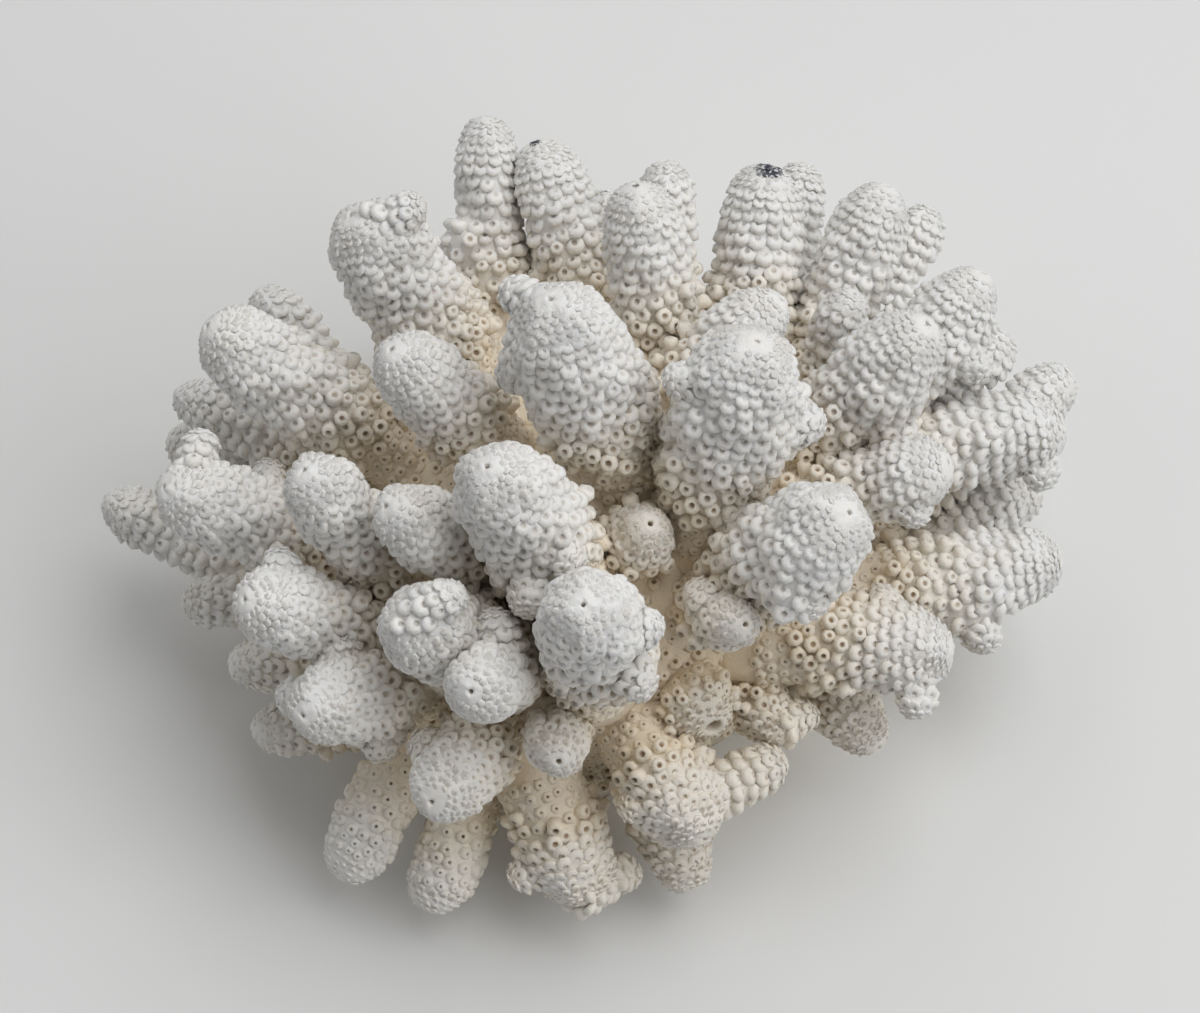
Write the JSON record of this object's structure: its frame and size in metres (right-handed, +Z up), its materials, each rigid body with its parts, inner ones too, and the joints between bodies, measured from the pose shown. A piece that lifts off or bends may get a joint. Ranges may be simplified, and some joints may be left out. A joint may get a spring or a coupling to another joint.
{
  "type": "finger coral",
  "caption": "Bleached colony of thick blunt coral fingers on a low crust, cut flat underneath so that it stands on a shelf.",
  "frame": {"origin": "centre of growth set down on the flat cut underneath, which lies at z = 0", "axes": "+Z up out of the cut through the crown, +X to the right and +Y to the rear as the coral is seen from the front"},
  "size_m": [0.1486, 0.1153, 0.0879],
  "materials": {
    "finger": "matt, sugary bleached skeleton",
    "low_finger": "matt, slightly darker bleached skeleton",
    "stained_finger": "matt bleached skeleton with a grey-black stain on its tip",
    "crust": "matt cream skeleton with brown pits"
  },
  "bodies": {
    "root": {"centre_low": "finger", "centre_small": "finger", "crown_front": "finger", "crown_left": "finger", "crown_rear_left": "finger", "crown_rear_right": "finger", "crown_right": "finger", "crust": "crust", "front_broad": "finger", "front_centre": "finger", "front_centre_small": "finger", "front_left": "finger", "front_left_low": "low_finger", "front_low_left": "finger", "front_low_middle": "finger", "front_middle": "finger", "front_middle_left": "finger", "front_right": "finger", "front_right_low": "finger", "front_right_rough": "finger", "front_right_small": "finger", "front_right_stub": "finger", "left_centre": "finger", "left_far_low": "low_finger", "left_front": "finger", "left_front_small": "low_finger", "left_inner": "finger", "left_inner_rear": "finger", "left_low_front": "low_finger", "left_low_middle": "low_finger", "left_low_rear": "low_finger", "left_middle": "finger", "left_rear": "finger", "left_rear_thin": "finger", "left_upper": "finger", "rear_behind": "finger", "rear_low_left": "low_finger", "rear_low_middle": "low_finger", "rear_low_right": "low_finger", "rear_middle": "finger", "rear_right": "finger", "rear_right_behind": "finger", "rear_short": "finger", "rear_small": "finger", "rear_specked": "finger", "rear_stained": "stained_finger", "rear_stained_behind": "finger", "rear_tall": "finger", "right_behind": "finger", "right_front": "finger", "right_inner": "finger", "right_lower": "finger", "right_middle": "finger", "right_rear": "finger", "right_tip_small": "finger", "right_underneath": "low_finger", "right_upper": "finger"}
  },
  "joints": []
}
